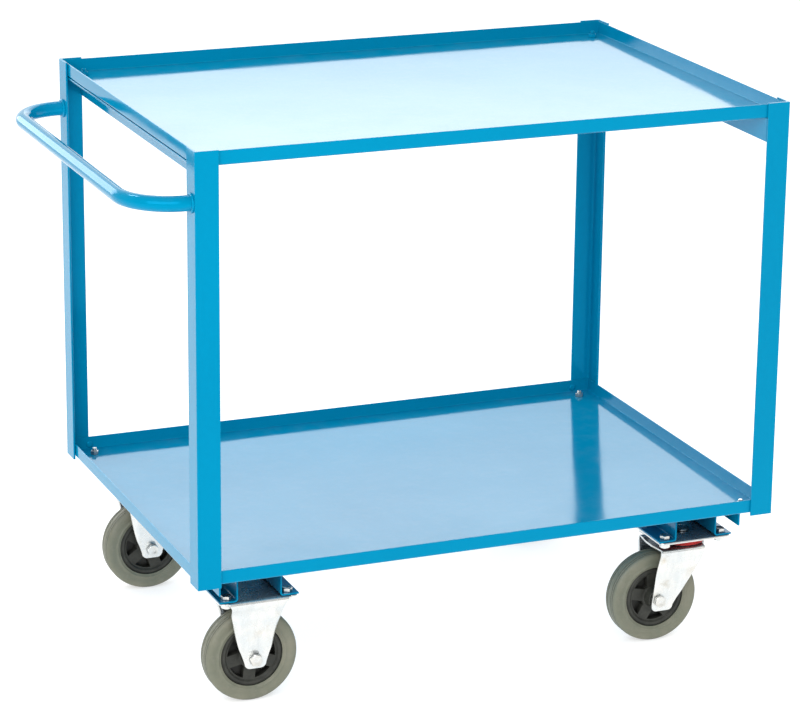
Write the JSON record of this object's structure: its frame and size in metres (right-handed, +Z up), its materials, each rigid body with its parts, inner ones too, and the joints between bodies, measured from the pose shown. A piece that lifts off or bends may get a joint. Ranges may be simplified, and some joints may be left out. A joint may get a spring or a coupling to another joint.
{
  "type": "platform trolley",
  "caption": "Platform trolley with two pressed steel trays between angle posts, a tube push handle at one end, and fixed and swivel castors.",
  "frame": {"origin": "on the floor, under the middle of the trolley's bounding box", "axes": "+X along the trolley, away from the push handle; +Y across it; +Z up"},
  "size_m": [1.1447, 0.73, 0.9615],
  "materials": {
    "blue_paint": "gloss",
    "zinc_plate": "bright zinc plate",
    "grey_rubber": "matte",
    "dark_plastic": "satin",
    "red_plastic": "satin"
  },
  "bodies": {
    "frame": {"axle_bolt_front_left": "zinc_plate", "axle_bolt_rear_left": "zinc_plate", "axle_nut_front_left": "zinc_plate", "axle_nut_rear_left": "zinc_plate", "bearer_lower_left": "blue_paint", "bearer_lower_right": "blue_paint", "bearer_upper_left": "blue_paint", "bearer_upper_right": "blue_paint", "castor_beam_left": "blue_paint", "castor_beam_right": "blue_paint", "fixed_bracket_front_left": "zinc_plate", "fixed_bracket_rear_left": "zinc_plate", "king_pin_front_right": "zinc_plate", "king_pin_rear_right": "zinc_plate", "mount_bolt_front_left_1": "zinc_plate", "mount_bolt_front_left_2": "zinc_plate", "mount_bolt_front_left_3": "zinc_plate", "mount_bolt_front_left_4": "zinc_plate", "mount_bolt_front_right_1": "zinc_plate", "mount_bolt_front_right_2": "zinc_plate", "mount_bolt_front_right_3": "zinc_plate", "mount_bolt_front_right_4": "zinc_plate", "mount_bolt_rear_left_1": "zinc_plate", "mount_bolt_rear_left_2": "zinc_plate", "mount_bolt_rear_left_3": "zinc_plate", "mount_bolt_rear_left_4": "zinc_plate", "mount_bolt_rear_right_1": "zinc_plate", "mount_bolt_rear_right_2": "zinc_plate", "mount_bolt_rear_right_3": "zinc_plate", "mount_bolt_rear_right_4": "zinc_plate", "post_front_left": "blue_paint", "post_front_right": "blue_paint", "post_rear_left": "blue_paint", "post_rear_right": "blue_paint", "push_handle": "blue_paint", "swivel_plate_front_right": "zinc_plate", "swivel_plate_rear_right": "zinc_plate", "tray_lower": "blue_paint", "tray_upper": "blue_paint"},
    "swivel_front_right": {"swivel_fork_front_right": "zinc_plate", "dust_seal_front_right": "red_plastic", "axle_bolt_front_right": "zinc_plate", "axle_nut_front_right": "zinc_plate"},
    "wheel_front_left": {"tyre_front_left": "grey_rubber", "wheel_centre_front_left": "dark_plastic"},
    "wheel_front_right": {"tyre_front_right": "grey_rubber", "wheel_centre_front_right": "dark_plastic"},
    "swivel_rear_right": {"swivel_fork_rear_right": "zinc_plate", "dust_seal_rear_right": "red_plastic", "axle_bolt_rear_right": "zinc_plate", "axle_nut_rear_right": "zinc_plate"},
    "wheel_rear_left": {"tyre_rear_left": "grey_rubber", "wheel_centre_rear_left": "dark_plastic"},
    "wheel_rear_right": {"tyre_rear_right": "grey_rubber", "wheel_centre_rear_right": "dark_plastic"}
  },
  "joints": [
    {"name": "swivel_turn_front_right", "type": "hinge", "parent": "frame", "child": "swivel_front_right", "pos_m": [0.44785, -0.274, 0.17], "axis": [0, 0, 1], "continuous": true},
    {"name": "swivel_turn_rear_right", "type": "hinge", "parent": "frame", "child": "swivel_rear_right", "pos_m": [0.44785, 0.274, 0.17], "axis": [0, 0, 1], "continuous": true},
    {"name": "wheel_spin_front_left", "type": "hinge", "parent": "frame", "child": "wheel_front_left", "pos_m": [-0.34965, -0.274, 0.08], "axis": [0, 1, 0], "continuous": true},
    {"name": "wheel_spin_front_right", "type": "hinge", "parent": "swivel_front_right", "child": "wheel_front_right", "pos_m": [0.39185, -0.274, 0.08], "axis": [0, 1, 0], "continuous": true},
    {"name": "wheel_spin_rear_left", "type": "hinge", "parent": "frame", "child": "wheel_rear_left", "pos_m": [-0.34965, 0.274, 0.08], "axis": [0, 1, 0], "continuous": true},
    {"name": "wheel_spin_rear_right", "type": "hinge", "parent": "swivel_rear_right", "child": "wheel_rear_right", "pos_m": [0.39185, 0.274, 0.08], "axis": [0, 1, 0], "continuous": true}
  ]
}
